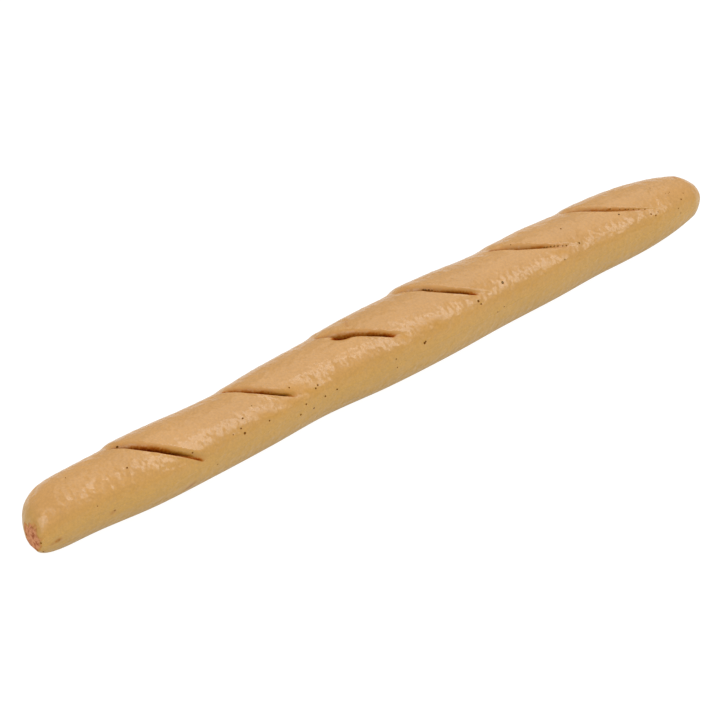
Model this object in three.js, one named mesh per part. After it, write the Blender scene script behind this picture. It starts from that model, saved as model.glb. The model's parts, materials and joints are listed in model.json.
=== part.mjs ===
// A miniature baguette at about one sixth of full size: one hand-rolled stick of painted clay
// with six slanting slashes, a blunt near end and a tapered far end.
// Units are millimetres. X runs along the stick, Y across it and Z up. The stick lies on the
// flat strip along its underside, at Z = 0, and the origin is in the middle of that strip.
//
// The skin is a loft of closed rings. The rings lean along the stick in the same direction as
// the slashes, so a slash is a few neighbouring rings pressed in. A place on the skin is given
// by its ring, which is where that ring crosses the top of the stick, and by its angle round
// the stick: 0 degrees is the far side (+Y), 90 the top, 180 the near side and 270 the bottom.

import * as THREE from 'three';

// ---- The stick ------------------------------------------------------------------------------

const LENGTH = 108;
const NEAR_TIP = -LENGTH / 2;
const FAR_TIP = LENGTH / 2;
const HEIGHT_TO_WIDTH = 0.95;
// 2 makes the section an ellipse, and a higher power makes it squarer.
const SECTION_POWER = 2.25;
// The underside is flat at this share of the half-height below the middle.
const FLAT_SHARE = 0.93;

// Where the roll swells and wanders: its place along X, its half-width, and how far its middle
// line lies to the far side. The half-widths are those before the ends are rounded off.
const STATIONS = [
  { x: -54, halfWidth: 3.93, drift: 0.61 },
  { x: -46, halfWidth: 4.34, drift: 0.7 },
  { x: -37, halfWidth: 4.75, drift: 0.07 },
  { x: -28, halfWidth: 4.65, drift: -0.11 },
  { x: -19, halfWidth: 4.71, drift: 0.03 },
  { x: -10, halfWidth: 4.8, drift: 0.39 },
  { x: 0, halfWidth: 5.25, drift: -0.05 },
  { x: 10, halfWidth: 5.37, drift: -0.12 },
  { x: 19, halfWidth: 5.06, drift: -0.05 },
  { x: 28, halfWidth: 5.07, drift: -0.04 },
  { x: 37, halfWidth: 4.86, drift: 0.07 },
  { x: 46, halfWidth: 4.95, drift: -0.47 },
  { x: 54, halfWidth: 4.9, drift: -0.69 },
];

// ---- The two ends ---------------------------------------------------------------------------

// A rounding narrows the section over its length to a face, given as a share of the section.
// Its power is 2 for a round shoulder, more for a squarer one and less for a flatter slope.
const NEAR_ROUNDING = { length: 5.9, face: 0, power: 2.63 };
const FAR_TAPER = { length: 16.4, face: 0.433, power: 1.654 };
const FAR_ROUNDING = { length: 1.52, face: 0.716, power: 1.221 };
// How far the middle of each tip lies off the middle of the stick.
const NEAR_TIP_OFFSET = { y: -2.5, z: -0.77 };
const FAR_TIP_OFFSET = { y: -1.64, z: 0.544 };

// ---- The slashes ----------------------------------------------------------------------------

// Each slash crosses the top of the stick at one ring. It runs from its start angle on the far
// side to its end angle on the near side. From the top to the near side it moves along X by its
// reach, plus its bend. The run-out is the angle over which the cut gets shallower before its
// end, and the swell is the height of the lip on its far side.
const SLASHES = [
  { ring: -37.36, reach: 6.6, bend: 1.45, start: 54, end: 165, runOut: 14, swell: 0.38 },
  { ring: -20.07, reach: 6.73, bend: 2.53, start: 56, end: 143, runOut: 14, swell: 0.15 },
  { ring: -3.83, reach: 9.1, bend: 2.06, start: 58, end: 130, runOut: 14, swell: 0.31 },
  { ring: 9.86, reach: 8.99, bend: 2.86, start: 49, end: 129, runOut: 14, swell: 0.41 },
  { ring: 24.48, reach: 10.79, bend: 5.53, start: 62, end: 128, runOut: 36, swell: 0.31 },
  { ring: 37.9, reach: 10.39, bend: 6.4, start: 52, end: 128, runOut: 36, swell: 0.27 },
];
// The cut's section: across it in millimetres of X, and how deep it is there.
const CUT_SECTION = [
  { across: -0.35, depth: 0 },
  { across: 0.05, depth: 0.75 },
  { across: 0.75, depth: 0.22 },
  { across: 1.5, depth: 0 },
];
// The angle over which a cut deepens from nothing at its start.
const CUT_RUN_IN = 30;
// The blade pinched the roll, so a shallow waist follows each slash.
const WAIST_DEPTH = 0.3;
const WAIST_WIDTH = 4.5;
// The lip swells up within this distance past the cut, and then sinks back over the second.
const SWELL_RISE = 1.5;
const SWELL_FALL = 6;
// Waist and swell fade over this angle, and reach this far past the two ends of the slash.
const FADE = 40;
const START_OVERRUN = 50;
const END_OVERRUN = 20;
// A ring leans in full from this angle inside the start of a slash to this angle past its end.
// Outside that it leans by this share only.
const LEAN_MARGIN = 8;
const LEAN_REST = 0.25;
// How nearly the lean is a straight zigzag round the stick: 1 is a sharp one.
const ZIGZAG = 0.97;

// The lower lip of the third slash has a chip broken out of it.
const CHIP = { slash: 2, angle: 90, across: -0.7, depth: 0.45, length: 9, width: 0.7 };

// ---- How finely the skin is cut into facets --------------------------------------------------

const SIDES = 40;
const LONGEST_STEP = 2.6;
const RINGS_BY_A_SLASH = [-2.2, -1.1, -0.35, 0.05, 0.75, 1.5, 2.5, 4];
const NEAR_END_RINGS = { length: 5.5, count: 8 };
const FAR_END_RINGS = { length: 12, count: 10 };

// ---- Small helpers ---------------------------------------------------------------------------

const toRadians = THREE.MathUtils.degToRad;

// Rises smoothly from 0 to 1 as t goes from 0 to 1.
function ease(t) {
  return THREE.MathUtils.smoothstep(t, 0, 1);
}

// A straight line from knot to knot, level before the first and after the last.
function linear(knots, key, value, at) {
  if (at <= knots[0][key]) return knots[0][value];
  for (let i = 1; i < knots.length; i += 1) {
    const before = knots[i - 1];
    const after = knots[i];
    if (at <= after[key]) {
      const share = (at - before[key]) / (after[key] - before[key]);
      return THREE.MathUtils.lerp(before[value], after[value], share);
    }
  }
  return knots[knots.length - 1][value];
}

// A smooth curve through the stations.
function smoothAlong(value) {
  const places = STATIONS.map((station) => station.x);
  const values = STATIONS.map((station) => station[value]);
  return new THREE.CubicInterpolant(places, values, 1);
}

const halfWidthAlong = smoothAlong('halfWidth');
const driftAlong = smoothAlong('drift');

// ---- The lean of the rings -------------------------------------------------------------------

// -1 on the far side, 0 on the top and the bottom, and 1 on the near side.
function zigzag(degrees) {
  return Math.asin(-ZIGZAG * Math.cos(toRadians(degrees))) / Math.asin(ZIGZAG);
}

const LEAN_KNOTS = [
  { ring: NEAR_TIP, reach: 0, bend: 0, first: -1, last: 1 },
  ...SLASHES.map((slash) => ({
    ...slash,
    first: zigzag(slash.start + LEAN_MARGIN),
    last: zigzag(slash.end + LEAN_MARGIN),
  })),
  { ring: FAR_TIP, reach: 0, bend: 0, first: -1, last: zigzag(SLASHES.at(-1).end + LEAN_MARGIN) },
];

// How far along X a ring has moved at an angle, from where it crosses the top.
function lean(ring, degrees) {
  const first = linear(LEAN_KNOTS, 'ring', 'first', ring);
  const last = linear(LEAN_KNOTS, 'ring', 'last', ring);
  const full = zigzag(degrees);
  const held = THREE.MathUtils.clamp(full, first, last);
  const turn = held + (full - held) * LEAN_REST;
  const reach = linear(LEAN_KNOTS, 'ring', 'reach', ring);
  const bend = linear(LEAN_KNOTS, 'ring', 'bend', ring);
  return reach * turn + bend * turn * turn;
}

// ---- The relief of the skin ------------------------------------------------------------------

// How far one slash raises or sinks the skin at a ring and an angle.
function slashRelief(slash, ring, degrees) {
  const across = ring - slash.ring;
  const fadeIn = ease((degrees - slash.start + START_OVERRUN) / FADE);
  const fadeOut = ease((slash.end + END_OVERRUN - degrees) / FADE);
  const waist = -WAIST_DEPTH * Math.exp(-(across ** 2) / (2 * WAIST_WIDTH ** 2));
  const past = Math.max(across, 0);
  const swell = slash.swell * ease(past / SWELL_RISE) * Math.exp(-past / SWELL_FALL);
  const startsAt = ease((degrees - slash.start) / CUT_RUN_IN);
  const stopsAt = ease((slash.end - degrees) / slash.runOut);
  const cut = linear(CUT_SECTION, 'across', 'depth', across) * startsAt * stopsAt;
  return (waist + swell) * fadeIn * fadeOut - cut;
}

function chipRelief(ring, degrees) {
  const across = (ring - SLASHES[CHIP.slash].ring - CHIP.across) / CHIP.width;
  const along = (degrees - CHIP.angle) / CHIP.length;
  return -CHIP.depth * Math.exp(-(across ** 2) - along ** 2);
}

function relief(ring, degrees) {
  let height = chipRelief(ring, degrees);
  for (const slash of SLASHES) {
    height += slashRelief(slash, ring, degrees);
  }
  return height;
}

// ---- The skin --------------------------------------------------------------------------------

// The share of the section that a rounding leaves at a distance from its tip.
function rounded(rounding, distance) {
  const share = THREE.MathUtils.clamp(distance / rounding.length, 0, 1);
  const fullness = (1 - (1 - share) ** rounding.power) ** (1 / rounding.power);
  return THREE.MathUtils.lerp(rounding.face, 1, fullness);
}

// The superellipse's reach in one direction, from that direction's cosine or sine.
function squared(component) {
  return Math.sign(component) * Math.abs(component) ** (2 / SECTION_POWER);
}

function skinPoint(ring, degrees) {
  const x = THREE.MathUtils.clamp(ring + lean(ring, degrees), NEAR_TIP, FAR_TIP);
  const halfWidth = halfWidthAlong.evaluate(x)[0];
  const halfHeight = halfWidth * HEIGHT_TO_WIDTH;
  const middle = halfHeight * FLAT_SHARE;
  const height = relief(ring, degrees);
  const angle = toRadians(degrees);
  const across = (halfWidth + height) * squared(Math.cos(angle));
  const up = Math.max((halfHeight + height) * squared(Math.sin(angle)), -middle);
  const near = rounded(NEAR_ROUNDING, x - NEAR_TIP);
  const far = rounded(FAR_TAPER, FAR_TIP - x) * rounded(FAR_ROUNDING, FAR_TIP - x);
  const offsetY = (1 - near) * NEAR_TIP_OFFSET.y + (1 - far) * FAR_TIP_OFFSET.y;
  const offsetZ = (1 - near) * NEAR_TIP_OFFSET.z + (1 - far) * FAR_TIP_OFFSET.z;
  const y = driftAlong.evaluate(x)[0] + offsetY + near * far * across;
  const z = middle + offsetZ + near * far * up;
  return new THREE.Vector3(x, y, z);
}

// Distances from a tip that get closer together towards it.
function endSteps({ length, count }) {
  return Array.from({ length: count }, (_, i) => length * ((i + 1) / count) ** 2);
}

// Every ring, in order: close together at the slashes and the tips, and evenly spaced between.
function ringPlaces() {
  const bySlashes = SLASHES.flatMap((slash) => RINGS_BY_A_SLASH.map((step) => slash.ring + step));
  const byNearEnd = endSteps(NEAR_END_RINGS).map((step) => NEAR_TIP + step);
  const byFarEnd = endSteps(FAR_END_RINGS).map((step) => FAR_TIP - step);
  const fixed = [...byNearEnd, ...bySlashes, ...byFarEnd, FAR_TIP].sort((a, b) => a - b);
  const places = [fixed[0]];
  for (let i = 1; i < fixed.length; i += 1) {
    const gap = fixed[i] - fixed[i - 1];
    const steps = Math.max(1, Math.ceil(gap / LONGEST_STEP));
    for (let step = 1; step <= steps; step += 1) {
      places.push(fixed[i - 1] + (gap * step) / steps);
    }
  }
  return places;
}

// Splits a four-sided patch of skin along its shorter diagonal.
function splitPatch(points, a, b, c, d) {
  const shortAC = points[a].distanceTo(points[c]) < points[b].distanceTo(points[d]);
  return shortAC ? [a, b, c, a, c, d] : [a, b, d, b, c, d];
}

// A tip's middle point, flush with the tip.
function tipPoint(ringPoints, x) {
  const middle = new THREE.Vector3();
  for (const point of ringPoints) {
    middle.addScaledVector(point, 1 / ringPoints.length);
  }
  middle.x = x;
  return middle;
}

function stickGeometry() {
  const rings = ringPlaces();
  const angles = Array.from({ length: SIDES }, (_, i) => (360 * i) / SIDES);
  const points = rings.flatMap((ring) => angles.map((degrees) => skinPoint(ring, degrees)));
  const faces = [];
  for (let i = 0; i < rings.length - 1; i += 1) {
    for (let j = 0; j < SIDES; j += 1) {
      const next = (j + 1) % SIDES;
      const here = i * SIDES;
      const beyond = here + SIDES;
      faces.push(...splitPatch(points, here + j, here + next, beyond + next, beyond + j));
    }
  }
  const lastRing = (rings.length - 1) * SIDES;
  const nearTip = points.push(tipPoint(points.slice(0, SIDES), NEAR_TIP)) - 1;
  const farTip = points.push(tipPoint(points.slice(lastRing, lastRing + SIDES), FAR_TIP)) - 1;
  for (let j = 0; j < SIDES; j += 1) {
    const next = (j + 1) % SIDES;
    faces.push(nearTip, next, j);
    faces.push(farTip, lastRing + j, lastRing + next);
  }
  const geometry = new THREE.BufferGeometry().setFromPoints(points);
  geometry.setIndex(faces);
  geometry.computeBoundingBox();
  const box = geometry.boundingBox;
  const middle = box.getCenter(new THREE.Vector3());
  geometry.translate(-middle.x, -middle.y, -box.min.z);
  geometry.computeVertexNormals();
  return geometry;
}

// ---- The part --------------------------------------------------------------------------------

const paintedClay = new THREE.MeshStandardMaterial({
  color: 0xca9f60,
  roughness: 0.45,
  metalness: 0,
});

const stick = new THREE.Mesh(stickGeometry(), paintedClay);
stick.name = 'baguette';

const group = new THREE.Group();
group.add(stick);

export default group;
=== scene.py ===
"""A miniature baguette: one hand-rolled stick of painted clay, at about one sixth of full size.

Sizes in the tables below are in millimetres unless a comment says otherwise, and Blender's own
objects are in metres. X runs along the stick, from the blunt near end to the tapered far end, Y
across it and Z up. A place on the skin is given by its ring, which is where that ring crosses the
top, and by its angle round the stick: 0 degrees is the far side (+Y), 90 the top, 180 the near
side and 270 the bottom.
"""

import json
import math

import bpy
import numpy as np
from mathutils import Matrix, Vector, kdtree, noise

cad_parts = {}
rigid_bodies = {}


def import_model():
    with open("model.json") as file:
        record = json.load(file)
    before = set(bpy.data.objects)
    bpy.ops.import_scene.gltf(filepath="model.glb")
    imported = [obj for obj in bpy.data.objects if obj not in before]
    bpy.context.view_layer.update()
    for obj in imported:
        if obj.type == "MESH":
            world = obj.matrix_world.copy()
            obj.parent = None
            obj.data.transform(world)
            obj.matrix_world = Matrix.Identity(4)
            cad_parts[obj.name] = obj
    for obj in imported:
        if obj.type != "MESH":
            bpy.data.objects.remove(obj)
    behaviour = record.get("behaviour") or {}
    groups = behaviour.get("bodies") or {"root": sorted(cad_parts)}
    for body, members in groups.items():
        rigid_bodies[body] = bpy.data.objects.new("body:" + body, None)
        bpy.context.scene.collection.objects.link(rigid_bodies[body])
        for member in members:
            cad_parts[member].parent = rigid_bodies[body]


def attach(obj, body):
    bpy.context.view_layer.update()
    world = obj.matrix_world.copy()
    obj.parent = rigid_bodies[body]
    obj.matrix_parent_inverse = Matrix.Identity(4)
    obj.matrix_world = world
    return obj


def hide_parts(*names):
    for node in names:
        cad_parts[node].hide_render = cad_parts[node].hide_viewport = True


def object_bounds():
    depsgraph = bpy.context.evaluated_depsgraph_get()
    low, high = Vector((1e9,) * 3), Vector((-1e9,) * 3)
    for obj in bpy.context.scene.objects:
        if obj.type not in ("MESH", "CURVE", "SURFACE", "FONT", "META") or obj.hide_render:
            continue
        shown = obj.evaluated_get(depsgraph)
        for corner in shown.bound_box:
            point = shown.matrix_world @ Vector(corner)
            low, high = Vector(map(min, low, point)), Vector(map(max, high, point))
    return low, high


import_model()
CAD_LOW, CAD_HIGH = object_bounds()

bl_info = {
    "name": "Miniature baguette",
    "version": (1, 0, 0),
    "blender": (4, 5, 0),
    "location": "3D View > Sidebar > Baguette",
    "description": "Models a slashed stick of painted clay, and a stage to show it on",
    "category": "Add Mesh",
}

MM = 0.001
BODY = "root"
NODE = "baguette"
PIECE = "painted_stick"

# ---- The rolled form ---------------------------------------------------------------------------

NEAR_TIP = CAD_LOW.x / MM
FAR_TIP = CAD_HIGH.x / MM
HEIGHT_TO_WIDTH = 0.95
# 2 makes the section an ellipse, and a higher power makes it squarer.
SECTION_POWER = 2.25
# The underside is flat at this share of the half-height below the middle.
FLAT_SHARE = 0.93
# The middle of the whole stick lies this far from the line that the stations wander about.
SIDE_SHIFT = 0.121

# Where the roll swells and wanders: its place along X, its half-width, and its drift to +Y.
STATIONS = (
    (-54, 3.93, 0.61),
    (-46, 4.34, 0.7),
    (-37, 4.75, 0.07),
    (-28, 4.65, -0.11),
    (-19, 4.71, 0.03),
    (-10, 4.8, 0.39),
    (0, 5.25, -0.05),
    (10, 5.37, -0.12),
    (19, 5.06, -0.05),
    (28, 5.07, -0.04),
    (37, 4.86, 0.07),
    (46, 4.95, -0.47),
    (54, 4.9, -0.69),
)

# A rounding narrows the section over its length to a face, given as a share of the section.
NEAR_ROUNDING = {"length": 5.9, "face": 0.0, "power": 2.63}
FAR_TAPER = {"length": 16.4, "face": 0.433, "power": 1.654}
FAR_ROUNDING = {"length": 1.52, "face": 0.716, "power": 1.221}
# How far the middle of each tip lies off the middle of the stick, in Y and Z.
NEAR_TIP_OFFSET = (-2.5, -0.77)
FAR_TIP_OFFSET = (-1.64, 0.544)

# ---- The slashes -------------------------------------------------------------------------------

# Each slash crosses the top at one ring, and runs from its start angle on the far side to its
# end angle on the near side. From the top to there it moves along X by its reach, plus its bend.
# The swell is the height of the lip past it, and the run-out is the angle over which the cut fades
# out before its end. The wash is the brown that has settled in it, laid on thick enough to paint
# part of the cut's shade too: at an angle, how far it reaches from the lip and how thick a coat it
# is.
SLASHES = (
    {
        "ring": -37.53, "reach": 6.79, "bend": 1.68, "start": 54, "end": 163, "swell": 0.38,
        "run_out": 30,
        "wash": ((62, 0.3, 0), (66, 0.3, 0.6), (70, 0.35, 1), (74, 0.36, 1.25), (78, 0.36, 1.4),
                 (82, 0.4, 1.4), (86, 0.5, 1.3), (90, 0.65, 1.15), (98, 0.8, 1.15),
                 (106, 0.8, 1.15), (114, 0.8, 0.92), (122, 0.66, 0.85), (130, 0.5, 0.75),
                 (134, 0.42, 0.6), (142, 0.32, 0.45), (150, 0.24, 0.5), (156, 0.2, 0.7),
                 (161, 0.18, 0.75), (164, 0.15, 0.35), (166, 0.15, 0)),
    },
    {
        "ring": -20.14, "reach": 6.73, "bend": 2.53, "start": 56, "end": 143, "swell": 0.15,
        "run_out": 14,
        "wash": ((60, 0.3, 0), (64, 0.4, 0.5), (70, 0.46, 0.85), (76, 0.4, 1.1), (82, 0.36, 1.25),
                 (86, 0.45, 1.2), (90, 0.5, 1.25), (94, 0.52, 1.3), (98, 0.58, 1.25),
                 (106, 0.7, 0.8), (110, 0.56, 1.05), (118, 0.4, 0.76), (126, 0.3, 0.5),
                 (130, 0.25, 0.18), (134, 0.22, 0.3), (138, 0.2, 0.25), (142, 0.2, 0.1),
                 (145, 0.2, 0)),
    },
    {
        "ring": -3.93, "reach": 9.1, "bend": 2.06, "start": 58, "end": 130, "swell": 0.31,
        "run_out": 14,
        "wash": ((60, 0.3, 0), (64, 0.3, 0.35), (70, 0.3, 0.6), (76, 0.3, 0.75), (79, 0.35, 0.75),
                 (83, 0.45, 0.8), (90, 0.7, 0.8), (95, 0.95, 0.45), (102, 0.9, 0.52), (106, 1, 0.5),
                 (112, 0.95, 0.6), (118, 0.78, 0.7), (124, 0.66, 0.85), (127.5, 0.5, 1),
                 (129.5, 0.4, 0.9), (131, 0.3, 0)),
    },
    {
        "ring": 9.54, "reach": 8.99, "bend": 2.86, "start": 49, "end": 129, "swell": 0.41,
        "run_out": 14,
        "wash": ((57, 0.3, 0), (62, 0.3, 0.4), (68, 0.28, 0.5), (76, 0.28, 0.65), (80, 0.32, 0.9),
                 (83, 0.36, 1.3), (85.5, 0.38, 1.4), (89, 0.4, 1.2), (92, 0.5, 0.85),
                 (95, 0.55, 0.85), (98, 0.4, 1.15), (104, 0.44, 1.25), (110, 0.55, 1),
                 (117, 0.66, 0.8), (122, 0.52, 0.85), (126, 0.35, 1.05), (129.5, 0.3, 0.8),
                 (131.5, 0.2, 0)),
    },
    {
        "ring": 24.37, "reach": 10.39, "bend": 4.75, "start": 62, "end": 128, "swell": 0.31,
        "run_out": 42,
        "wash": ((62, 0.3, 0), (66, 0.3, 0.35), (70, 0.32, 0.6), (78, 0.34, 0.85), (84, 0.34, 0.9),
                 (90, 0.36, 0.85), (98, 0.5, 0.6), (102, 0.75, 0.45), (106, 0.9, 0.4),
                 (109, 0.8, 0.35), (112, 0.8, 0.15), (116, 1, 0.06), (122, 1.1, 0.04),
                 (128, 1, 0.03), (131, 0.8, 0)),
    },
    {
        "ring": 37.72, "reach": 10.19, "bend": 5.9, "start": 52, "end": 128, "swell": 0.27,
        "run_out": 58,
        "wash": ((60, 0.3, 0), (66, 0.3, 0.5), (70, 0.32, 0.8), (78, 0.36, 1), (84, 0.4, 0.9),
                 (90, 0.6, 0.6), (94, 0.65, 0.5), (98, 0.9, 0.34), (106, 1.1, 0.16),
                 (114, 1.1, 0.14), (120, 0.9, 0.12), (125, 0.7, 0.06), (130, 0.6, 0)),
    },
)
# The cut's section, across it in millimetres of X: from its lip it drops straight to its floor,
# and past that it fades up again, getting shallower by a factor of e over each fade, until its
# stop. It deepens over its run-in, in degrees, and its fade narrows to a share of this over the
# last degrees.
CUT = {"lip": -0.39, "floor": -0.06, "depth": 0.72, "fade": 0.42, "stop": 3.0, "run_in": 30}
CUT_NARROWING = {"share": 0.45, "over": 34}
# The blade pushed up a thin lip on the near side of each cut: its place, width and height.
LIP = {"across": -0.64, "width": 0.22, "height": 0.05}
# The clay sank round each cut, in a waist this deep and wide, and swelled up past it. The swell
# rises over the first distance and sinks again over the second.
WAIST = {"depth": 0.3, "width": 4.5}
SWELL = {"rise": 1.5, "fall": 6}
# Waist and swell start and end this many degrees beyond the cut, and take a while to do so.
BEYOND_CUT = {"start": 50, "end": 20, "over": 40}
# A ring leans as its slash does, from this many degrees past the slash's start to as many past
# its end. Outside that it leans on by only a share. How far it leans is a zigzag of its angle,
# rounded off a little at its corners: this is how sharp they are, and 1 is not rounded at all.
LEAN = {"margin": 8, "rest": 0.25, "zigzag": 0.97}

# The wash starts within this distance of the lip, and no place has more than the most coats.
WASH = {"edge": 0.1, "most": 1.2}
# It ends softly across the cut, over this share of its width and between these bounds. Past
# this many times the softness it doesn't change any more.
WASH_SOFTNESS = {"share": 0.5, "least": 0.05, "most": 0.2, "times": 30}
# Its faint tail goes further: its strength, where it starts and how far it fades across the cut,
# and the degrees over which it comes and goes along it, to a little past the cut's end.
WASH_TAIL = {"strength": 0.06, "start": 0.9, "fade": 0.5, "run_in": 20, "run_out": 12, "past": 4}

# The lower lip of the third slash has a chip broken out of it. The wash lies where the chip is at
# least this share of its depth, and fully from the second share on, so that it darkens the deeper
# hollow as painted shade as well as wash.
CHIP = {
    "slash": 2, "angle": 89, "across": -0.5, "depth": 0.5, "length": 7.5, "width": 0.8,
    "wash": 1.0, "wash_from": 0.263, "wash_full": 0.789,
}
# A fine crease crosses the far lip of the same slash. A faint wash along it darkens the crease as
# painted shade.
CREASE = {"start": (0.67, 64.5), "end": (-1.94, 81), "width": 0.12, "depth": 0.04, "wash": 0.08}

# ---- Pinholes, tooth marks and stains ----------------------------------------------------------

BIG, MIDDLING, SMALL = 0.36, 0.26, 0.18
# Air bubbles broke through the skin as it dried: ring, angle and how wide.
PINHOLES = (
    (-53.82, 164, MIDDLING), (-53.61, 210, MIDDLING), (-53.71, 81, SMALL),
    (-48.1, 156, SMALL), (-47.05, 178.5, MIDDLING), (-46.73, 82.5, SMALL),
    (-37.17, 70, BIG), (-41.94, 117, MIDDLING), (-36.74, 143, MIDDLING), (-36.5, 181.5, SMALL),
    (-31.16, 147, SMALL), (-29.52, 144, MIDDLING), (-30.42, 154.5, BIG),
    (-27.1, 130, MIDDLING), (-23.79, 118.5, SMALL), (-26.8, 156, MIDDLING),
    (-22.27, 175.5, MIDDLING), (-18.47, 123, MIDDLING), (-20.88, 163.5, MIDDLING),
    (-19.99, 177, MIDDLING), (-18.14, 147, MIDDLING), (-17.38, 144, MIDDLING),
    (-17.92, 168, MIDDLING), (-16.07, 166.5, MIDDLING), (-7.05, 163.5, SMALL),
    (-7.27, 177, SMALL), (-2.4, 161, BIG), (-2.15, 159.7, MIDDLING), (7.95, 141, BIG),
    (7.95, 147, MIDDLING), (9.47, 172.5, SMALL), (10.56, 169.5, SMALL), (13.17, 132, BIG),
    (13.35, 131, MIDDLING), (25.35, 81, SMALL), (30.75, 96, MIDDLING), (25.45, 132, MIDDLING),
    (21.32, 145.5, SMALL), (36, 117, MIDDLING), (36.3, 140.5, MIDDLING),
    (36.57, 146.5, MIDDLING), (37.34, 142, SMALL), (42.97, 155, SMALL), (42.69, 167.5, SMALL),
    (46.9, 91.5, SMALL), (46.57, 114, SMALL), (47.01, 115, SMALL), (47.45, 114, SMALL),
    (46.05, 139, MIDDLING), (48.86, 127.5, SMALL),
)
# The blade tore a row of pits in the fourth slash.
PITS = ((9.87, 84, BIG), (9.85, 86, BIG), (9.87, 88.5, BIG), (9.9, 90.8, MIDDLING))
# The saw's teeth left ticks along the end of two slashes: ring, angle and how wide. Each is this
# many times as long as it is wide.
TOOTH_STRETCH = 1.4
TOOTH_MARKS = (
    (24.56, 110.5, 0.2), (24.59, 112.3, 0.2), (24.68, 114.7, 0.2), (24.71, 117.2, 0.2),
    (24.68, 120, 0.18), (24.65, 123.6, 0.18), (24.69, 126, 0.2), (38.3, 100.8, 0.2),
    (38.23, 108.2, 0.13), (38.12, 112.8, 0.18), (38.08, 115.2, 0.16), (38.05, 118.8, 0.16),
    (38.01, 122.7, 0.16), (37.97, 127.1, 0.18),
)
# Faint brown smears: ring, angle, how far they reach, and how thick the wash is on them.
STAINS = (
    (-39.0, 199.5, 0.4, 0.2), (-52.47, 181.5, 0.26, 0.3), (-52.98, 184.5, 0.2, 0.15),
    (-47.24, 180, 0.25, 0.12), (52.28, 73.5, 0.35, 0.15),
)
# Places that handling has rubbed dull: ring, angle and how far they reach.
RUBBED = (
    (-25.47, 145.9, 1.2), (-21.68, 144.4, 1.2), (-18.76, 142.6, 1.2), (-18.62, 129.6, 1.5),
    (-4.07, 137.4, 0.7), (-1.0, 140.6, 0.9), (0.84, 142.2, 1.0), (22.58, 133.5, 0.8),
)
# How dull a rubbed place and the underside are, where bare clay is 1.
RUBBED_DULLNESS = 0.22
UNDER_DULLNESS = 0.24
# How far a degree is round the skin, at the stick's usual half-width.
USUAL_HALF_WIDTH = 5.2
MM_PER_DEGREE = math.radians(USUAL_HALF_WIDTH)

# The paint has rubbed off the near tip, down to the clay: the middle of the patch and its reach,
# how X, Y and Z count towards that reach, how ragged it is, how many bumps its edge has in a
# millimetre, and how soft it is.
WORN = {
    "middle": (-54.0, -0.45, 3.2), "reach": 2.05, "weights": (0.6, 1, 1), "ragged": 0.7,
    "bumps": 1.4, "softness": 0.5,
}

# The top's lighter, pinker paint is a painted sheen, where the light from above would shine on it,
# and the darker, duller paint beneath is painted shade. Both come in as the skin turns: where they
# start, as the share of the normal along Z or X, and over how much more of it they come in. An
# end's skin gets only a share of the painted shade.
TOP_SHEEN = {"from": -0.1, "over": 1.05}
UNDERSIDE_SHADE = {"from": -0.2, "over": 0.95}
END_SHADE = {"from": 0.5, "over": 0.45, "share": 0.5}

# Nearly all of a noise pattern's values lie between these two.
NOISE = {"low": 0.3, "high": 0.7}
# How far apart the spots of a pattern are, and the factors between which it varies the paint's
# lightness or, for the flecks, the wash's thickness.
MOTTLE = {"size": 6, "least": 0.965, "most": 1.035}
SPECKLES = {"size": 0.3, "least": 0.92, "most": 1.08}
FLECKS = {"size": 0.3, "least": 0.55, "most": 1.45}
# The clay's grain and how high its grit stands. The clay is clean below the first value of the
# grain's pattern, and a dirty pock above the second.
GRAIN = {"size": 0.6, "height": 0.12, "clean": 0.45, "pocked": 0.65}
# How rough the satin paint is, and how rough the full wash and the bare clay are.
ROUGHNESS = {"satin": 0.27, "dull": 0.75}
# The paint's gloss seen square on and at a low angle, and the shares of the way to edge on
# between which it falls.
GLOSS = {"square_on": 0.66, "low_angle": 0.1, "from": 0.5, "to": 0.9}
# The gloss begins to go where the skin is this dull, and is gone at the second value.
GLOSS_LOSS = {"from": 0.02, "to": 0.3}

# ---- How finely the stick is made --------------------------------------------------------------

SIDES = 168
# Each long edge is cut by the first number, and each piece of it by the second.
RING_CUTS = (100, 4)
# How many times closer the rings lie at a slash: from this far before it to this far past it,
# with the distances over which they close up and spread again.
SLASH_CROWDING = {"times": 4, "before": 0.9, "closing": 0.3, "past": 1.6, "spreading": 0.6}
# How strongly the rings close up towards a tip, and the distance from it where that stops.
TIP_CROWDING = {"strength": 0.9, "stop": 0.003}
# The end rings stand this far inside the tips, so that each tip keeps its face.
TIP_GAP = 0.004
# How many places along the stick their spacing is worked out at.
SPACING_STEPS = 20001
# An edge of the blank runs along X if it is longer than this that way, and strays by less than
# the second length. The middle vertex of an end lies within the hub.
LONG_EDGE = {"least": 1e-4, "stray": 1e-3}
HUB_RADIUS = 0.01
# The way the skin runs at a place is felt this far before and past it.
FEEL_REACH = 0.3
# The lumps fade away inside these two angles, over some degrees, and leave the underside flat.
FLAT_UNDERSIDE = {"from": 205, "to": 335, "over": 15}
# Edges sharper than this stay sharp.
SHARP_DEGREES = 50

# ---- The lights and the camera -----------------------------------------------------------------

# Soft boxes, in metres and watts: where each stands as a direction, how far off it is, the way
# its long side runs, how long and how wide it is, and its power.
SOFT_BOXES = (
    ("key_light", (0.45, -0.42, 0.785), 0.565, (0.24, -0.75, -0.62), (0.60, 0.13), 1.02),
    ("top_light", (0.48, 0.35, 0.8), 0.6, (1, 0, 0), (0.45, 0.45), 0.55),
    ("fill_light", (-0.70, -0.10, 0.70), 0.6, (0, 1, 0), (0.40, 0.40), 1.2),
)
WORLD_STRENGTH = 0.65
WHITE = (1.0, 1.0, 1.0, 1.0)

# The camera's angles are in degrees. It sees from its near to its far distance.
CAMERA = {
    "azimuth": -38.904, "elevation": 40.0, "distance": 561.6, "lens": 219.1, "sensor": 36.0,
    "aim": (-1.616, 0.233, 3.626), "near": 10, "far": 20000,
}


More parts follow.
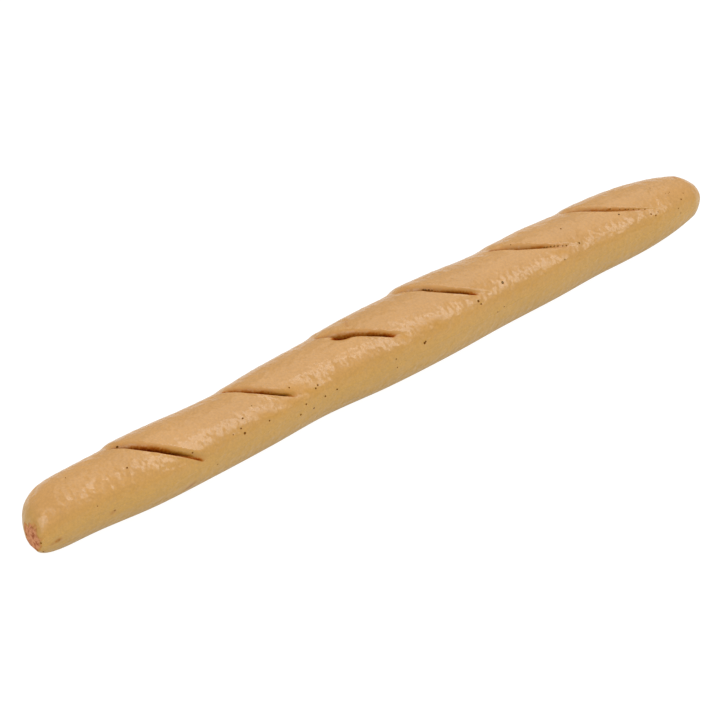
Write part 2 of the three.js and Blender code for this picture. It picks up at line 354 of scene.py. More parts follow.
def linear_colour(hex_colour):
    """A colour written as sRGB hex, turned to the linear values that shaders and lights use."""
    channels = [int(hex_colour[i:i + 2], 16) / 255 for i in (1, 3, 5)]
    return [c / 12.92 if c <= 0.04045 else ((c + 0.055) / 1.055) ** 2.4 for c in channels]


# ---- The form, as functions of ring and angle --------------------------------------------------


def ease(t):
    """Rises smoothly from 0 to 1 as t goes from 0 to 1."""
    t = np.clip(t, 0, 1)
    return t * t * (3 - 2 * t)


def smooth_along(x, column):
    """A smooth curve through one column of the stations, level with its neighbours."""
    places = np.array([station[0] for station in STATIONS], float)
    values = np.array([station[column] for station in STATIONS], float)
    secants = np.diff(values) / np.diff(places)
    slopes = np.concatenate([secants[:1], (secants[1:] + secants[:-1]) / 2, secants[-1:]])
    i = np.clip(np.searchsorted(places, x) - 1, 0, len(places) - 2)
    step = places[i + 1] - places[i]
    t = (x - places[i]) / step
    start = (2 * t**3 - 3 * t**2 + 1) * values[i] + (t**3 - 2 * t**2 + t) * step * slopes[i]
    end = (3 * t**2 - 2 * t**3) * values[i + 1] + (t**3 - t**2) * step * slopes[i + 1]
    return start + end


def zigzag(degrees):
    """-1 on the far side, 0 on the top and the bottom, and 1 on the near side."""
    share = LEAN["zigzag"]
    return np.arcsin(-share * np.cos(np.radians(degrees))) / math.asin(share)


def lean(ring, degrees):
    """How far along X a ring has moved at an angle, from where it crosses the top."""
    knots = [NEAR_TIP, *[slash["ring"] for slash in SLASHES], FAR_TIP]
    starts = zigzag(np.array([slash["start"] + LEAN["margin"] for slash in SLASHES]))
    ends = zigzag(np.array([slash["end"] + LEAN["margin"] for slash in SLASHES]))
    full = zigzag(degrees)
    first = np.interp(ring, knots, [-1, *starts, -1])
    last = np.interp(ring, knots, [1, *ends, ends[-1]])
    held = np.clip(full, first, last)
    turn = held + (full - held) * LEAN["rest"]
    reach = np.interp(ring, knots, [0, *[slash["reach"] for slash in SLASHES], 0])
    bend = np.interp(ring, knots, [0, *[slash["bend"] for slash in SLASHES], 0])
    return reach * turn + bend * turn**2


def slash_relief(slash, ring, degrees):
    """How far one slash raises or sinks the skin."""
    across = ring - slash["ring"]
    fade_in = ease((degrees - slash["start"] + BEYOND_CUT["start"]) / BEYOND_CUT["over"])
    fade_out = ease((slash["end"] + BEYOND_CUT["end"] - degrees) / BEYOND_CUT["over"])
    waist = -WAIST["depth"] * np.exp(-(across**2) / (2 * WAIST["width"]**2))
    past = np.maximum(across, 0)
    swell = slash["swell"] * ease(past / SWELL["rise"]) * np.exp(-past / SWELL["fall"])
    starts = ease((degrees - slash["start"]) / CUT["run_in"])
    stops = ease((slash["end"] - degrees) / slash["run_out"])
    drop = np.clip((across - CUT["lip"]) / (CUT["floor"] - CUT["lip"]), 0, 1)
    ending = ease((degrees - slash["end"] + CUT_NARROWING["over"]) / CUT_NARROWING["over"])
    fade = CUT["fade"] * (1 - (1 - CUT_NARROWING["share"]) * ending)
    rise = np.exp(-np.clip(across - CUT["floor"], 0, CUT["stop"]) / fade)
    cut = CUT["depth"] * drop * rise * (across < CUT["stop"])
    lip = LIP["height"] * np.exp(-(((across - LIP["across"]) / LIP["width"]) ** 2))
    return (waist + swell) * fade_in * fade_out + (lip - cut) * starts * stops


def chip_depth(ring, degrees):
    """The hollow that the chip leaves: 1 in its middle, and 0 outside it."""
    across = (ring - SLASHES[CHIP["slash"]]["ring"] - CHIP["across"]) / CHIP["width"]
    along = (degrees - CHIP["angle"]) / CHIP["length"]
    return np.exp(-(across**2) - along**2)


def crease_line(ring, degrees):
    """1 on the crease, fading to 0 within its width."""
    start = np.array([CREASE["start"][0], CREASE["start"][1] * MM_PER_DEGREE])
    end = np.array([CREASE["end"][0], CREASE["end"][1] * MM_PER_DEGREE])
    along = end - start
    x = ring - start[0]
    y = degrees * MM_PER_DEGREE - start[1]
    share = np.clip((x * along[0] + y * along[1]) / (along @ along), 0, 1)
    distance = np.hypot(x - share * along[0], y - share * along[1])
    return np.exp(-((distance / CREASE["width"]) ** 2))


def relief(ring, degrees):
    """How far the skin stands above the plain roll, in millimetres."""
    height = -CHIP["depth"] * chip_depth(ring, degrees)
    height = height - CREASE["depth"] * crease_line(ring, degrees)
    for slash in SLASHES:
        height = height + slash_relief(slash, ring, degrees)
    return height


def rounded(rounding, distance):
    """The share of the section that a rounding leaves at a distance from its tip."""
    share = np.clip(distance / rounding["length"], 0, 1)
    power = rounding["power"]
    fullness = np.maximum(1 - (1 - share) ** power, 0) ** (1 / power)
    return rounding["face"] + (1 - rounding["face"]) * fullness


def squared(component):
    """The superellipse's reach in one direction, from that direction's cosine or sine."""
    return np.sign(component) * np.abs(component) ** (2 / SECTION_POWER)


def skin_point(ring, degrees):
    """The place of a point of the skin, in millimetres."""
    degrees = np.asarray(degrees, float) % 360
    ring = np.asarray(ring, float) + 0 * degrees
    x = np.clip(ring + lean(ring, degrees), NEAR_TIP, FAR_TIP)
    half_width = smooth_along(x, 1)
    half_height = half_width * HEIGHT_TO_WIDTH
    middle = half_height * FLAT_SHARE
    height = relief(ring, degrees)
    angle = np.radians(degrees)
    across = (half_width + height) * squared(np.cos(angle))
    up = np.maximum((half_height + height) * squared(np.sin(angle)), -middle)
    near = rounded(NEAR_ROUNDING, x - NEAR_TIP)
    far = rounded(FAR_TAPER, FAR_TIP - x) * rounded(FAR_ROUNDING, FAR_TIP - x)
    offset_y = (1 - near) * NEAR_TIP_OFFSET[0] + (1 - far) * FAR_TIP_OFFSET[0]
    offset_z = (1 - near) * NEAR_TIP_OFFSET[1] + (1 - far) * FAR_TIP_OFFSET[1]
    drift = smooth_along(x, 2)
    y = drift + SIDE_SHIFT + offset_y + near * far * across
    z = middle + offset_z + near * far * up
    return np.stack([x, y, z], axis=-1)


def ring_places(count):
    """The rings from tip to tip, closer together at the tips and at the slashes, whose lip and
    floor each lie on a ring."""
    place = np.linspace(NEAR_TIP, FAR_TIP, SPACING_STEPS)
    crowding = np.ones_like(place)
    for slash in SLASHES:
        across = place - slash["ring"]
        closed = ease((across + SLASH_CROWDING["before"]) / SLASH_CROWDING["closing"])
        spread = ease((SLASH_CROWDING["past"] - across) / SLASH_CROWDING["spreading"])
        crowding += (SLASH_CROWDING["times"] - 1) * closed * spread
    to_tip = np.minimum(place - NEAR_TIP, FAR_TIP - place)
    crowding += TIP_CROWDING["strength"] / np.sqrt(to_tip + TIP_CROWDING["stop"])
    total = np.cumsum(crowding)
    total = (total - total[0]) / (total[-1] - total[0])
    places = np.interp(np.linspace(0, 1, count), total, place)
    places[0] += TIP_GAP
    places[-1] -= TIP_GAP
    for slash in SLASHES:
        for edge in (slash["ring"] + CUT["lip"], slash["ring"] + CUT["floor"]):
            places[np.argmin(np.abs(places - edge))] = edge
    return places


# ---- The paint, as functions of ring and angle -------------------------------------------------


def wash_and_shade_amount(ring, degrees):
    """How thick the brown wash lies on the skin: 1 is one full coat. In the cuts, the chip and the
    crease it also paints their shade.
    """
    # In the chip the wash grows with depth, painting the hollow's shade.
    in_chip = chip_depth(ring, degrees) - CHIP["wash_from"]
    wash = CHIP["wash"] * ease(in_chip / (CHIP["wash_full"] - CHIP["wash_from"]))
    wash = np.maximum(wash, CREASE["wash"] * crease_line(ring, degrees))
    for slash in SLASHES:
        angles, spreads, coats = zip(*slash["wash"])
        across = ring - slash["ring"] - CUT["lip"]
        inside = ease((across + WASH["edge"]) / WASH["edge"])
        spread = np.interp(degrees, angles, spreads)
        coat = np.interp(degrees, angles, coats, left=0, right=0)
        softness = np.clip(
            spread * WASH_SOFTNESS["share"], WASH_SOFTNESS["least"], WASH_SOFTNESS["most"])
        times = WASH_SOFTNESS["times"]
        settled = coat / (1 + np.exp(np.clip((across - spread) / softness, -times, times)))
        run_in = ease((degrees - slash["start"]) / WASH_TAIL["run_in"])
        run_out = ease((slash["end"] + WASH_TAIL["past"] - degrees) / WASH_TAIL["run_out"])
        past = np.maximum(across - WASH_TAIL["start"], 0)
        tail = WASH_TAIL["strength"] * run_in * run_out * np.exp(-past / WASH_TAIL["fade"])
        wash = np.maximum(wash, inside * (settled + tail * (1 - settled)))
    for place, angle, reach, coat in STAINS:
        distance = np.hypot(ring - place, (degrees - angle) * MM_PER_DEGREE)
        wash = np.maximum(wash, coat * np.exp(-((distance / reach) ** 2)))
    return np.clip(wash, 0, WASH["most"])


def painted_sheen_amount(normals):
    """How far the skin faces up, where a lighter, pinker paint is painted sheen from the light
    above.
    """
    return ease((normals[:, 2] - TOP_SHEEN["from"]) / TOP_SHEEN["over"])


def painted_shade_amount(normals):
    """How far the skin faces down or out of an end, where a darker paint is painted shade and the
    gloss is duller.
    """
    down = ease((-normals[:, 2] - UNDERSIDE_SHADE["from"]) / UNDERSIDE_SHADE["over"])
    endwise = ease((np.abs(normals[:, 0]) - END_SHADE["from"]) / END_SHADE["over"])
    return np.maximum(down, END_SHADE["share"] * endwise)


def handled_amount(ring, degrees, under):
    """How dull handling has left the paint, from nothing to as dull as bare clay."""
    handled = UNDER_DULLNESS * under
    for place, angle, reach in RUBBED:
        distance = np.hypot(ring - place, (degrees - angle) * MM_PER_DEGREE)
        rubbed = RUBBED_DULLNESS * np.exp(-((distance / reach) ** 2))
        handled = np.maximum(handled, rubbed)
    return handled


def worn_amount(points):
    """1 where the paint has rubbed off the near tip, and 0 where it is whole."""
    distance = np.linalg.norm((points - np.array(WORN["middle"])) * WORN["weights"], axis=1)
    bumps = np.array([noise.noise(Vector(point * WORN["bumps"])) for point in points])
    return ease((WORN["reach"] - distance + WORN["ragged"] * bumps) / WORN["softness"])


# ---- Working with Blender ----------------------------------------------------------------------


def deselect_all():
    """Clears the selection, so that the next operator acts on one piece only."""
    for thing in bpy.context.view_layer.objects:
        thing.select_set(False)


def pick(thing):
    """Makes one object the only selected one, and the active one."""
    deselect_all()
    thing.select_set(True)
    bpy.context.view_layer.objects.active = thing


def coordinates(mesh):
    """The places of a mesh's vertices, in millimetres."""
    flat = np.empty(len(mesh.vertices) * 3)
    mesh.vertices.foreach_get("co", flat)
    return flat.reshape(-1, 3) / MM


def set_coordinates(mesh, points):
    """Moves a mesh's vertices to places given in millimetres."""
    mesh.vertices.foreach_set("co", (points * MM).ravel())
    mesh.update()


def apply_modifier(thing, kind, name, **settings):
    """Adds a modifier with its settings and applies it."""
    pick(thing)
    bpy.ops.object.modifier_add(type=kind)
    modifier = thing.modifiers[-1]
    modifier.name = name
    for key, value in settings.items():
        setattr(modifier, key, value)
    bpy.ops.object.modifier_apply(modifier=name)


def add_node(tree, kind, settings=None, **sockets):
    """Adds a shader node, with its settings and its inputs as values or as links.

    An input is called by its name, with _ for each space, or as _ and its number.
    """
    node = tree.nodes.new(kind)
    for key, value in (settings or {}).items():
        setattr(node, key, value)
    for key, value in sockets.items():
        name = int(key[1:]) if key[1:].isdigit() else key.replace("_", " ")
        socket = node.inputs[name]
        if isinstance(value, bpy.types.NodeSocket):
            tree.links.new(value, socket)
        else:
            socket.default_value = value
    return node


# ---- Settings ----------------------------------------------------------------------------------


def length_setting(name, description, millimetres):
    """A length that a user can change, with its default in millimetres."""
    return bpy.props.FloatProperty(
        name=name, description=description, default=millimetres * MM, min=0.0, precision=6,
        subtype="DISTANCE", unit="LENGTH",
    )


def colour_setting(name, description, hex_colour):
    """A colour that a user can change, with its default as sRGB hex."""
    return bpy.props.FloatVectorProperty(
        name=name, description=description, default=(*linear_colour(hex_colour), 1.0), size=4,
        min=0.0, max=1.0, subtype="COLOR",
    )


class BaguetteSizes(bpy.types.PropertyGroup):
    """The sizes of the stick's finer relief, and the floor's width and brightness."""

    lump_height: length_setting("Lump height", "How high the hand-rolled lumps stand", 0.14)
    lump_size: length_setting("Lump size", "How far apart the hand-rolled lumps are", 5.0)
    ripple_height: length_setting("Ripple height", "How high the thick paint's ripples are", 0.08)
    ripple_size: length_setting("Ripple size", "How far apart the paint's ripples are", 1.0)
    peel_height: length_setting("Peel height", "How high the paint's orange peel is", 0.15)
    peel_size: length_setting("Peel size", "How far apart the bumps of orange peel are", 0.95)
    floor_width: length_setting("Floor width", "How wide the floor is", 6000)
    floor_glow: bpy.props.FloatProperty(
        name="Floor glow", description="How brightly the light table shines", default=0.96, min=0)


class BaguetteColours(bpy.types.PropertyGroup):
    """The colours of the paint, the wash, the clay and the floor."""

    side: colour_setting("Side paint", "The tan paint on the sides", "#b98b33")
    # Painted sheen: the lighter, pinker tan on top stands in for the light from above.
    top: colour_setting("Top paint", "The pinker tan brushed over the top", "#bf8d4c")
    # Painted shade: the darker tan towards the underside and the ends stands in for the shade
    # beneath.
    under: colour_setting("Under paint", "The duller tan towards the underside", "#a07c3a")
    # The wash is a real brown, laid thick in the cuts so that it also paints part of their shade.
    wash: colour_setting("Brown wash", "What one full coat of the wash lets through", "#853f13")
    dregs: colour_setting("Dried wash", "The wash that has dried in the pinholes", "#8f5a1e")
    clay: colour_setting("Bare clay", "The fired clay under the paint", "#c38862")
    clay_dark: colour_setting("Dirty clay", "The pocks in the bare clay", "#8b4a2d")
    floor: colour_setting("Floor", "The light table's top with its light off", "#5a5a5a")


# ---- The stick ---------------------------------------------------------------------------------


def select_long_edges(mesh):
    """Selects the edges that run along X, and nothing else."""
    points = coordinates(mesh)
    ends = np.empty(len(mesh.edges) * 2, int)
    mesh.edges.foreach_get("vertices", ends)
    step = points[ends[1::2]] - points[ends[::2]]
    straight = np.hypot(step[:, 1], step[:, 2]) < LONG_EDGE["stray"]
    along = (np.abs(step[:, 0]) > LONG_EDGE["least"]) & straight
    mesh.vertices.foreach_set("select", np.zeros(len(mesh.vertices), bool))
    mesh.polygons.foreach_set("select", np.zeros(len(mesh.polygons), bool))
    mesh.edges.foreach_set("select", along)


def make_blank():
    """A cylinder of clay along X, with its long edges cut into rings."""
    deselect_all()
    middle = (CAD_LOW + CAD_HIGH) / 2
    bpy.ops.mesh.primitive_cylinder_add(
        vertices=SIDES,
        radius=middle.z,
        depth=CAD_HIGH.x - CAD_LOW.x,
        end_fill_type="TRIFAN",
        location=middle,
        rotation=(0, math.pi / 2, 0),
    )
    blank = bpy.context.object
    blank.name = PIECE
    blank.data.name = PIECE
    bpy.ops.object.transform_apply(location=True, rotation=True, scale=True)
    bpy.context.tool_settings.mesh_select_mode = (False, True, False)
    for cuts in RING_CUTS:
        select_long_edges(blank.data)
        bpy.ops.object.mode_set(mode="EDIT")
        bpy.ops.mesh.subdivide(number_cuts=cuts)
        bpy.ops.object.mode_set(mode="OBJECT")
    return blank


def shape_blank(stick):
    """Moves each vertex of the blank to its place on the rolled and slashed form."""
    mesh = stick.data
    points = coordinates(mesh)
    middle = (CAD_LOW + CAD_HIGH) / (2 * MM)
    count = int(np.prod([cuts + 1 for cuts in RING_CUTS])) + 1
    number = np.rint((points[:, 0] - NEAR_TIP) / (FAR_TIP - NEAR_TIP) * (count - 1)).astype(int)
    y, z = points[:, 1] - middle.y, points[:, 2] - middle.z
    ring = ring_places(count)[number]
    degrees = np.degrees(np.arctan2(z, y)) % 360
    shaped = skin_point(ring, degrees)
    hub = np.hypot(y, z) < HUB_RADIUS
    for tip, at_tip in ((NEAR_TIP, number == 0), (FAR_TIP, number == count - 1)):
        rim = shaped[at_tip & ~hub]
        shaped[at_tip & hub] = (tip, *rim[:, 1:].mean(axis=0))
    set_coordinates(mesh, shaped)
    return ring, degrees


def roll_unevenly(stick, sizes, degrees):
    """Gives the skin its lumps and ripples, and keeps the flat underside flat."""
    rolled = stick.vertex_groups.new(name="rolled")
    over = FLAT_UNDERSIDE["over"]
    past_near_edge = ease((degrees - FLAT_UNDERSIDE["from"]) / over)
    share = 1 - past_near_edge * ease((FLAT_UNDERSIDE["to"] - degrees) / over)
    for index, weight in enumerate(share):
        rolled.add([index], float(weight), "REPLACE")
    waves = (
        ("lumps", sizes.lump_height, sizes.lump_size),
        ("ripples", sizes.ripple_height, sizes.ripple_size),
    )
    for name, height, size in waves:
        clouds = bpy.data.textures.new(name, "CLOUDS")
        clouds.noise_scale = size
        clouds.noise_depth = 1
        apply_modifier(
            stick, "DISPLACE", name, texture=clouds, texture_coords="LOCAL",
            strength=height, mid_level=0.5, vertex_group="rolled",
        )
        bpy.data.textures.remove(clouds)
    stick.vertex_groups.clear()


def keep_in_box(stick):
    """Presses back what the lumps have pushed past the stick's overall size."""
    low, high = np.array(CAD_LOW) / MM, np.array(CAD_HIGH) / MM
    set_coordinates(stick.data, np.clip(coordinates(stick.data), low, high))


def feel_skin(ring, degrees):
    """A point of the skin, in millimetres, and the direction in which the skin runs there."""
    before, past = (skin_point(ring + step, degrees) for step in (-FEEL_REACH, FEEL_REACH))
    return Vector(skin_point(ring, degrees)), Vector(past - before).normalized()


def prick(ring, degrees, size):
    """Adds a small pip, as long, wide and deep as size says, that will cut one hole."""
    place, along = feel_skin(ring, degrees)
    turn = along.to_track_quat("X", "Z").to_euler()
    # The ball is 1 mm wide before it is scaled.
    bpy.ops.mesh.primitive_ico_sphere_add(
        subdivisions=2, radius=0.5 * MM, location=place * MM, rotation=turn, scale=size,
    )
    return bpy.context.object


def cut_holes(stick):
    """Cuts the pinholes, the pits and the tooth marks out of the skin."""
    pips = []
    deselect_all()
    for ring, degrees, width in PINHOLES + PITS:
        pips.append(prick(ring, degrees, (width, width, width)))
    for ring, degrees, width in TOOTH_MARKS:
        pips.append(prick(ring, degrees, (width * TOOTH_STRETCH, width, width)))
    deselect_all()
    for pip in pips:
        pip.select_set(True)
    bpy.context.view_layer.objects.active = pips[0]
    bpy.ops.object.join()
    bpy.ops.object.transform_apply(location=True, rotation=True, scale=True)
    cutter = bpy.context.object
    # The holes take over the stick's second material, the dried wash.
    for material in stick.data.materials[1:]:
        cutter.data.materials.append(material)
    apply_modifier(
        stick, "BOOLEAN", "holes", operation="DIFFERENCE", solver="MANIFOLD", object=cutter,
        material_mode="TRANSFER",
    )
    bpy.data.meshes.remove(cutter.data)


def store(mesh, name, values):
    """Writes one number for each vertex into a named attribute."""
    attribute = mesh.attributes.new(name, "FLOAT", "POINT")
    attribute.data.foreach_set("value", values.astype(np.float32))


def spread_paint(stick, skin, ring, degrees):
    """Writes the wash, laid on to paint part of the cuts' shade too, the top's painted sheen, the
    painted shade beneath and the wear onto the finished skin's vertices.

    Each of them takes the ring and the angle of the nearest vertex of the skin without holes.
    """
    mesh = stick.data
    points = coordinates(mesh)
    tree = kdtree.KDTree(len(skin))
    for index, point in enumerate(skin):
        tree.insert(point, index)
    tree.balance()
    nearest = np.array([tree.find(point)[1] for point in points])
    normals = np.empty(len(mesh.vertices) * 3)
    mesh.vertex_normals.foreach_get("vector", normals)
    normals = normals.reshape(-1, 3)
    ring, degrees = ring[nearest], degrees[nearest]
    under = painted_shade_amount(normals)
    store(mesh, "wash", wash_and_shade_amount(ring, degrees))
    store(mesh, "top", painted_sheen_amount(normals))
    store(mesh, "under", under)
    store(mesh, "handled", handled_amount(ring, degrees, under))
    store(mesh, "worn", worn_amount(points))


# ---- Materials ---------------------------------------------------------------------------------


def tan_paint(tree, place, amounts, colours):
    """The paint's colour: lighter and pinker on top as painted sheen, darker beneath as painted
    shade, softly mottled and finely speckled.
    """
    sheen_lit_paint = add_node(
        tree, "ShaderNodeMix", {"data_type": "RGBA"}, _0=amounts["top"], _6=colours.side,
        _7=colours.top)
    # The under paint darkens the skin facing down or endwise, as painted shade.
    coat = add_node(
        tree, "ShaderNodeMix", {"data_type": "RGBA"}, _0=amounts["under"], _6=sheen_lit_paint.outputs[2],
        _7=colours.under)
    mottle = add_node(
        tree, "ShaderNodeTexNoise", Vector=place, Scale=1 / (MOTTLE["size"] * MM), Detail=3.0,
        Roughness=0.6)
    mottled = add_node(
        tree, "ShaderNodeMapRange", Value=mottle.outputs["Fac"], From_Min=NOISE["low"],
        From_Max=NOISE["high"], To_Min=MOTTLE["least"], To_Max=MOTTLE["most"])
    speckle = add_node(
        tree, "ShaderNodeTexNoise", Vector=place, Scale=1 / (SPECKLES["size"] * MM), Detail=3.0)
    speckled = add_node(
        tree, "ShaderNodeMapRange", Value=speckle.outputs["Fac"], From_Min=NOISE["low"],
        From_Max=NOISE["high"], To_Min=SPECKLES["least"], To_Max=SPECKLES["most"])
    tone = add_node(
        tree, "ShaderNodeMath", {"operation": "MULTIPLY"}, _0=mottled.outputs[0],
        _1=speckled.outputs[0])
    paint = add_node(
        tree, "ShaderNodeVectorMath", {"operation": "SCALE"}, _0=coat.outputs[2],
        Scale=tone.outputs[0])
    return paint.outputs[0]


def brown_wash(tree, place, amounts, paint, colours):
    """How thickly the wash has settled, in flecks, and the colour of the paint seen through it. In
    the cuts this darkening is partly painted shade.
    """
    fleck = add_node(
        tree, "ShaderNodeTexNoise", Vector=place, Scale=1 / (FLECKS["size"] * MM), Detail=2.0)
    uneven = add_node(
        tree, "ShaderNodeMapRange", Value=fleck.outputs["Fac"], From_Min=NOISE["low"],
        From_Max=NOISE["high"], To_Min=FLECKS["least"], To_Max=FLECKS["most"])
    settled = add_node(
        tree, "ShaderNodeMath", {"operation": "MULTIPLY"}, _0=amounts["wash"],
        _1=uneven.outputs[0])
    # One coat lets the wash's colour through, and twice the coat lets through its square.
    red, green, blue = (
        add_node(tree, "ShaderNodeMath", {"operation": "POWER"}, _0=part, _1=settled.outputs[0])
        for part in colours.wash[:3]
    )
    let_through = add_node(
        tree, "ShaderNodeCombineColor", Red=red.outputs[0], Green=green.outputs[0],
        Blue=blue.outputs[0])
    washed = add_node(
        tree, "ShaderNodeVectorMath", {"operation": "MULTIPLY"}, _0=paint,
        _1=let_through.outputs[0])
    return settled.outputs[0], washed.outputs[0]


def fired_clay(tree, place, colours):
    """The grain of the bare clay, and its colour, with dirt in the pocks."""
    grain = add_node(
        tree, "ShaderNodeTexNoise", Vector=place, Scale=1 / (GRAIN["size"] * MM), Detail=4.0,
        Roughness=0.7)
    pocked = add_node(
        tree, "ShaderNodeMapRange", Value=grain.outputs["Fac"], From_Min=GRAIN["clean"],
        From_Max=GRAIN["pocked"])
    clay = add_node(
        tree, "ShaderNodeMix", {"data_type": "RGBA"}, _0=pocked.outputs[0], _6=colours.clay,
        _7=colours.clay_dark)
    return grain.outputs["Fac"], clay.outputs[2]


def satin_gloss(tree, dull):
    """How strongly the paint shines: less at a low angle, and not at all where it is dull."""
    edge_on = add_node(tree, "ShaderNodeLayerWeight", Blend=0.5)
    whole = add_node(
        tree, "ShaderNodeMapRange", Value=edge_on.outputs["Facing"], From_Min=GLOSS["from"],
        From_Max=GLOSS["to"], To_Min=GLOSS["square_on"], To_Max=GLOSS["low_angle"])
    gloss = add_node(
        tree, "ShaderNodeMapRange", Value=dull, From_Min=GLOSS_LOSS["from"],
        From_Max=GLOSS_LOSS["to"], To_Min=whole.outputs[0], To_Max=0.0)
    return gloss.outputs[0]


def peel_and_grit(tree, place, grain, worn, sizes):
    """The orange peel of the thick paint, and the grit where the clay is bare."""
    peel = add_node(
        tree, "ShaderNodeTexNoise", Vector=place, Scale=1 / sizes.peel_size, Detail=1.0,
        Roughness=0.5)
    peel_bump = add_node(
        tree, "ShaderNodeBump", Strength=1.0, Distance=sizes.peel_height,
        Height=peel.outputs["Fac"])
    grit = add_node(
        tree, "ShaderNodeMath", {"operation": "MULTIPLY"}, _0=grain, _1=worn)
    bump = add_node(
        tree, "ShaderNodeBump", Strength=1.0, Distance=GRAIN["height"] * MM,
        Height=grit.outputs[0], Normal=peel_bump.outputs[0])
    return bump.outputs[0]


def satin_paint(sizes, colours):
    """Acrylic paint, brushed thickly over fired clay and toned with a brown wash.

    It gives an even satin tan, lighter and pinker on top as painted sheen and darker beneath as
    painted shade, whose gloss breaks up into grains on the fine orange peel of the thick paint.
    The wash, which also paints part of the cuts' shade, is duller, and the bare clay is matt.
    """
    material = bpy.data.materials.new("satin_acrylic_on_clay")
    material.use_nodes = True
    tree = material.node_tree
    tree.nodes.clear()
    place = add_node(tree, "ShaderNodeTexCoord").outputs["Object"]
    amounts = {
        name: add_node(tree, "ShaderNodeAttribute", {"attribute_name": name}).outputs["Fac"]
        for name in ("wash", "top", "under", "handled", "worn")
    }
    paint = tan_paint(tree, place, amounts, colours)
    settled, washed = brown_wash(tree, place, amounts, paint, colours)
    grain, clay = fired_clay(tree, place, colours)
    colour = add_node(
        tree, "ShaderNodeMix", {"data_type": "RGBA"}, _0=amounts["worn"], _6=washed, _7=clay)
    bare = add_node(
        tree, "ShaderNodeMath", {"operation": "MAXIMUM"}, _0=settled, _1=amounts["worn"])
    dull = add_node(
        tree, "ShaderNodeMath", {"operation": "MAXIMUM"}, _0=bare.outputs[0],
        _1=amounts["handled"])
    roughness = add_node(
        tree, "ShaderNodeMapRange", Value=dull.outputs[0], To_Min=ROUGHNESS["satin"],
        To_Max=ROUGHNESS["dull"])
    surface = add_node(
        tree, "ShaderNodeBsdfPrincipled", Base_Color=colour.outputs[2],
        Roughness=roughness.outputs[0], IOR=1.5,
        Specular_IOR_Level=satin_gloss(tree, dull.outputs[0]),
        Normal=peel_and_grit(tree, place, grain, amounts["worn"], sizes))
    add_node(tree, "ShaderNodeOutputMaterial", Surface=surface.outputs[0])
    return material


def settled_wash(colours):
    """Brown wash, dried in the pinholes: dark and dull, so that each hole reads as a dot."""
    material = bpy.data.materials.new("dried_brown_wash")
    material.use_nodes = True
    tree = material.node_tree
    tree.nodes.clear()
    surface = add_node(
        tree, "ShaderNodeBsdfPrincipled", Base_Color=colours.dregs, Roughness=0.9, IOR=1.5,
        Specular_IOR_Level=0.0)
    add_node(tree, "ShaderNodeOutputMaterial", Surface=surface.outputs[0])
    return material


def light_table(colours, sizes):
    """Opal acrylic lit from below, so bright that the stick leaves hardly a shadow on it."""
    material = bpy.data.materials.new("opal_acrylic_light_table")
    material.use_nodes = True
    tree = material.node_tree
    tree.nodes.clear()
    surface = add_node(
        tree, "ShaderNodeBsdfPrincipled", Base_Color=colours.floor, Roughness=0.7, IOR=1.49,
        Emission_Color=WHITE, Emission_Strength=sizes.floor_glow)
    add_node(tree, "ShaderNodeOutputMaterial", Surface=surface.outputs[0])
    return material


# ---- Operators ---------------------------------------------------------------------------------


class MESH_OT_baguette_stick(bpy.types.Operator):
    """Rolls, slashes, pricks and paints the stick"""

    bl_idname = "mesh.baguette_stick"
    bl_label = "Baguette stick"
    bl_options = {"REGISTER", "UNDO"}

    def execute(self, context):
        sizes = context.scene.baguette_sizes
        colours = context.scene.baguette_colours
        stick = make_blank()
        ring, degrees = shape_blank(stick)
        stick.data.materials.append(satin_paint(sizes, colours))
        stick.data.materials.append(settled_wash(colours))
        roll_unevenly(stick, sizes, degrees)
        keep_in_box(stick)
        skin = coordinates(stick.data)
        cut_holes(stick)
        spread_paint(stick, skin, ring, degrees)
        pick(stick)
        bpy.ops.object.shade_smooth_by_angle(angle=math.radians(SHARP_DEGREES))
        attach(stick, BODY)
        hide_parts(NODE)
        return {"FINISHED"}


class MESH_OT_baguette_stage(bpy.types.Operator):
    """Sets out the floor, the lights and the camera"""

    bl_idname = "mesh.baguette_stage"
    bl_label = "Stage"
    bl_options = {"REGISTER", "UNDO"}

    def execute(self, context):
        make_floor(context.scene.baguette_sizes, context.scene.baguette_colours)
        make_lights()
        make_camera()
        return {"FINISHED"}


def make_floor(sizes, colours):
    """A wide light table, level with the underside of the stick."""
    deselect_all()
    bpy.ops.mesh.primitive_plane_add(size=sizes.floor_width, location=(0, 0, 0))
    floor = bpy.context.object
    floor.name = "floor"
    floor.data.materials.append(light_table(colours, sizes))


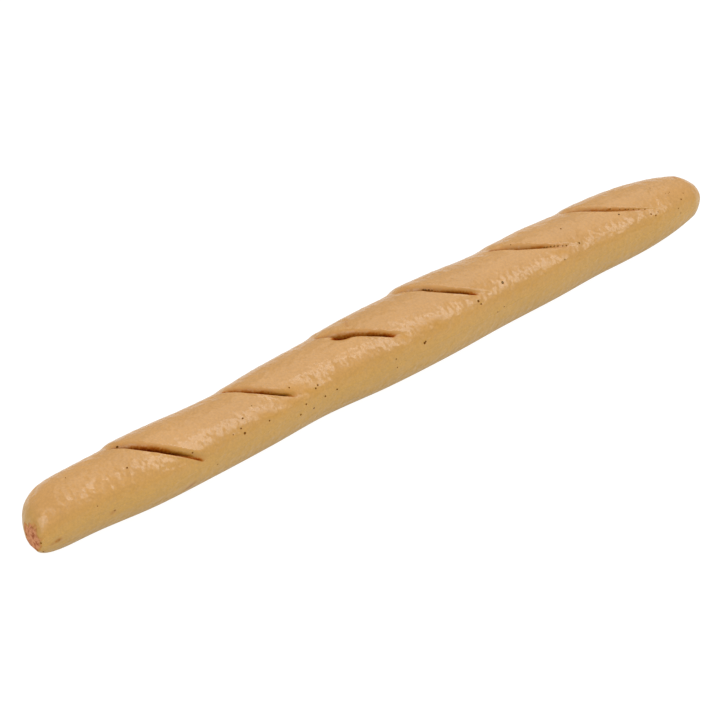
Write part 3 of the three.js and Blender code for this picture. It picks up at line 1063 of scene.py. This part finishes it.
def make_lights():
    """A bright even surround and three soft boxes."""
    for name, direction, distance, long_side, size, power in SOFT_BOXES:
        back = Vector(direction).normalized()
        short_side = back.cross(Vector(long_side)).normalized()
        turn = Matrix((short_side.cross(back), short_side, back)).transposed()
        deselect_all()
        bpy.ops.object.light_add(
            type="AREA", location=back * distance, rotation=turn.to_euler())
        light = bpy.context.object
        light.name = name
        light.data.shape = "RECTANGLE"
        light.data.size, light.data.size_y = size
        light.data.energy = power
    world = bpy.data.worlds.new("surround")
    world.use_nodes = True
    background = world.node_tree.nodes["Background"]
    background.inputs["Color"].default_value = WHITE
    background.inputs["Strength"].default_value = WORLD_STRENGTH
    bpy.context.scene.world = world
    bpy.context.scene.view_settings.view_transform = "Standard"


def make_camera():
    """A long lens, looking down on the near side from beyond the blunt end."""
    azimuth, elevation = math.radians(CAMERA["azimuth"]), math.radians(CAMERA["elevation"])
    back = Vector((
        math.sin(azimuth) * math.cos(elevation),
        -math.cos(azimuth) * math.cos(elevation),
        math.sin(elevation),
    ))
    aim = Vector(CAMERA["aim"]) * MM
    deselect_all()
    bpy.ops.object.camera_add(
        location=aim + back * CAMERA["distance"] * MM,
        rotation=(-back).to_track_quat("-Z", "Y").to_euler(),
    )
    camera = bpy.context.object
    camera.data.lens = CAMERA["lens"]
    camera.data.sensor_width = CAMERA["sensor"]
    camera.data.clip_start = CAMERA["near"] * MM
    camera.data.clip_end = CAMERA["far"] * MM
    bpy.context.scene.camera = camera


class VIEW3D_PT_baguette(bpy.types.Panel):
    """The baguette's tools, in the order in which they are used"""

    bl_label = "Miniature baguette"
    bl_space_type = "VIEW_3D"
    bl_region_type = "UI"
    bl_category = "Baguette"

    def draw(self, context):
        layout = self.layout
        layout.operator(MESH_OT_baguette_stick.bl_idname)
        layout.operator(MESH_OT_baguette_stage.bl_idname)
        for group in (context.scene.baguette_sizes, context.scene.baguette_colours):
            for name in group.__annotations__:
                layout.prop(group, name)


CLASSES = (
    BaguetteSizes, BaguetteColours, MESH_OT_baguette_stick, MESH_OT_baguette_stage,
    VIEW3D_PT_baguette,
)


def register():
    for made in CLASSES:
        bpy.utils.register_class(made)
    bpy.types.Scene.baguette_sizes = bpy.props.PointerProperty(type=BaguetteSizes)
    bpy.types.Scene.baguette_colours = bpy.props.PointerProperty(type=BaguetteColours)


def unregister():
    del bpy.types.Scene.baguette_colours
    del bpy.types.Scene.baguette_sizes
    for made in reversed(CLASSES):
        bpy.utils.unregister_class(made)


def main():
    register()
    bpy.ops.mesh.baguette_stick()
    bpy.ops.mesh.baguette_stage()


if __name__ == "__main__":
    main()
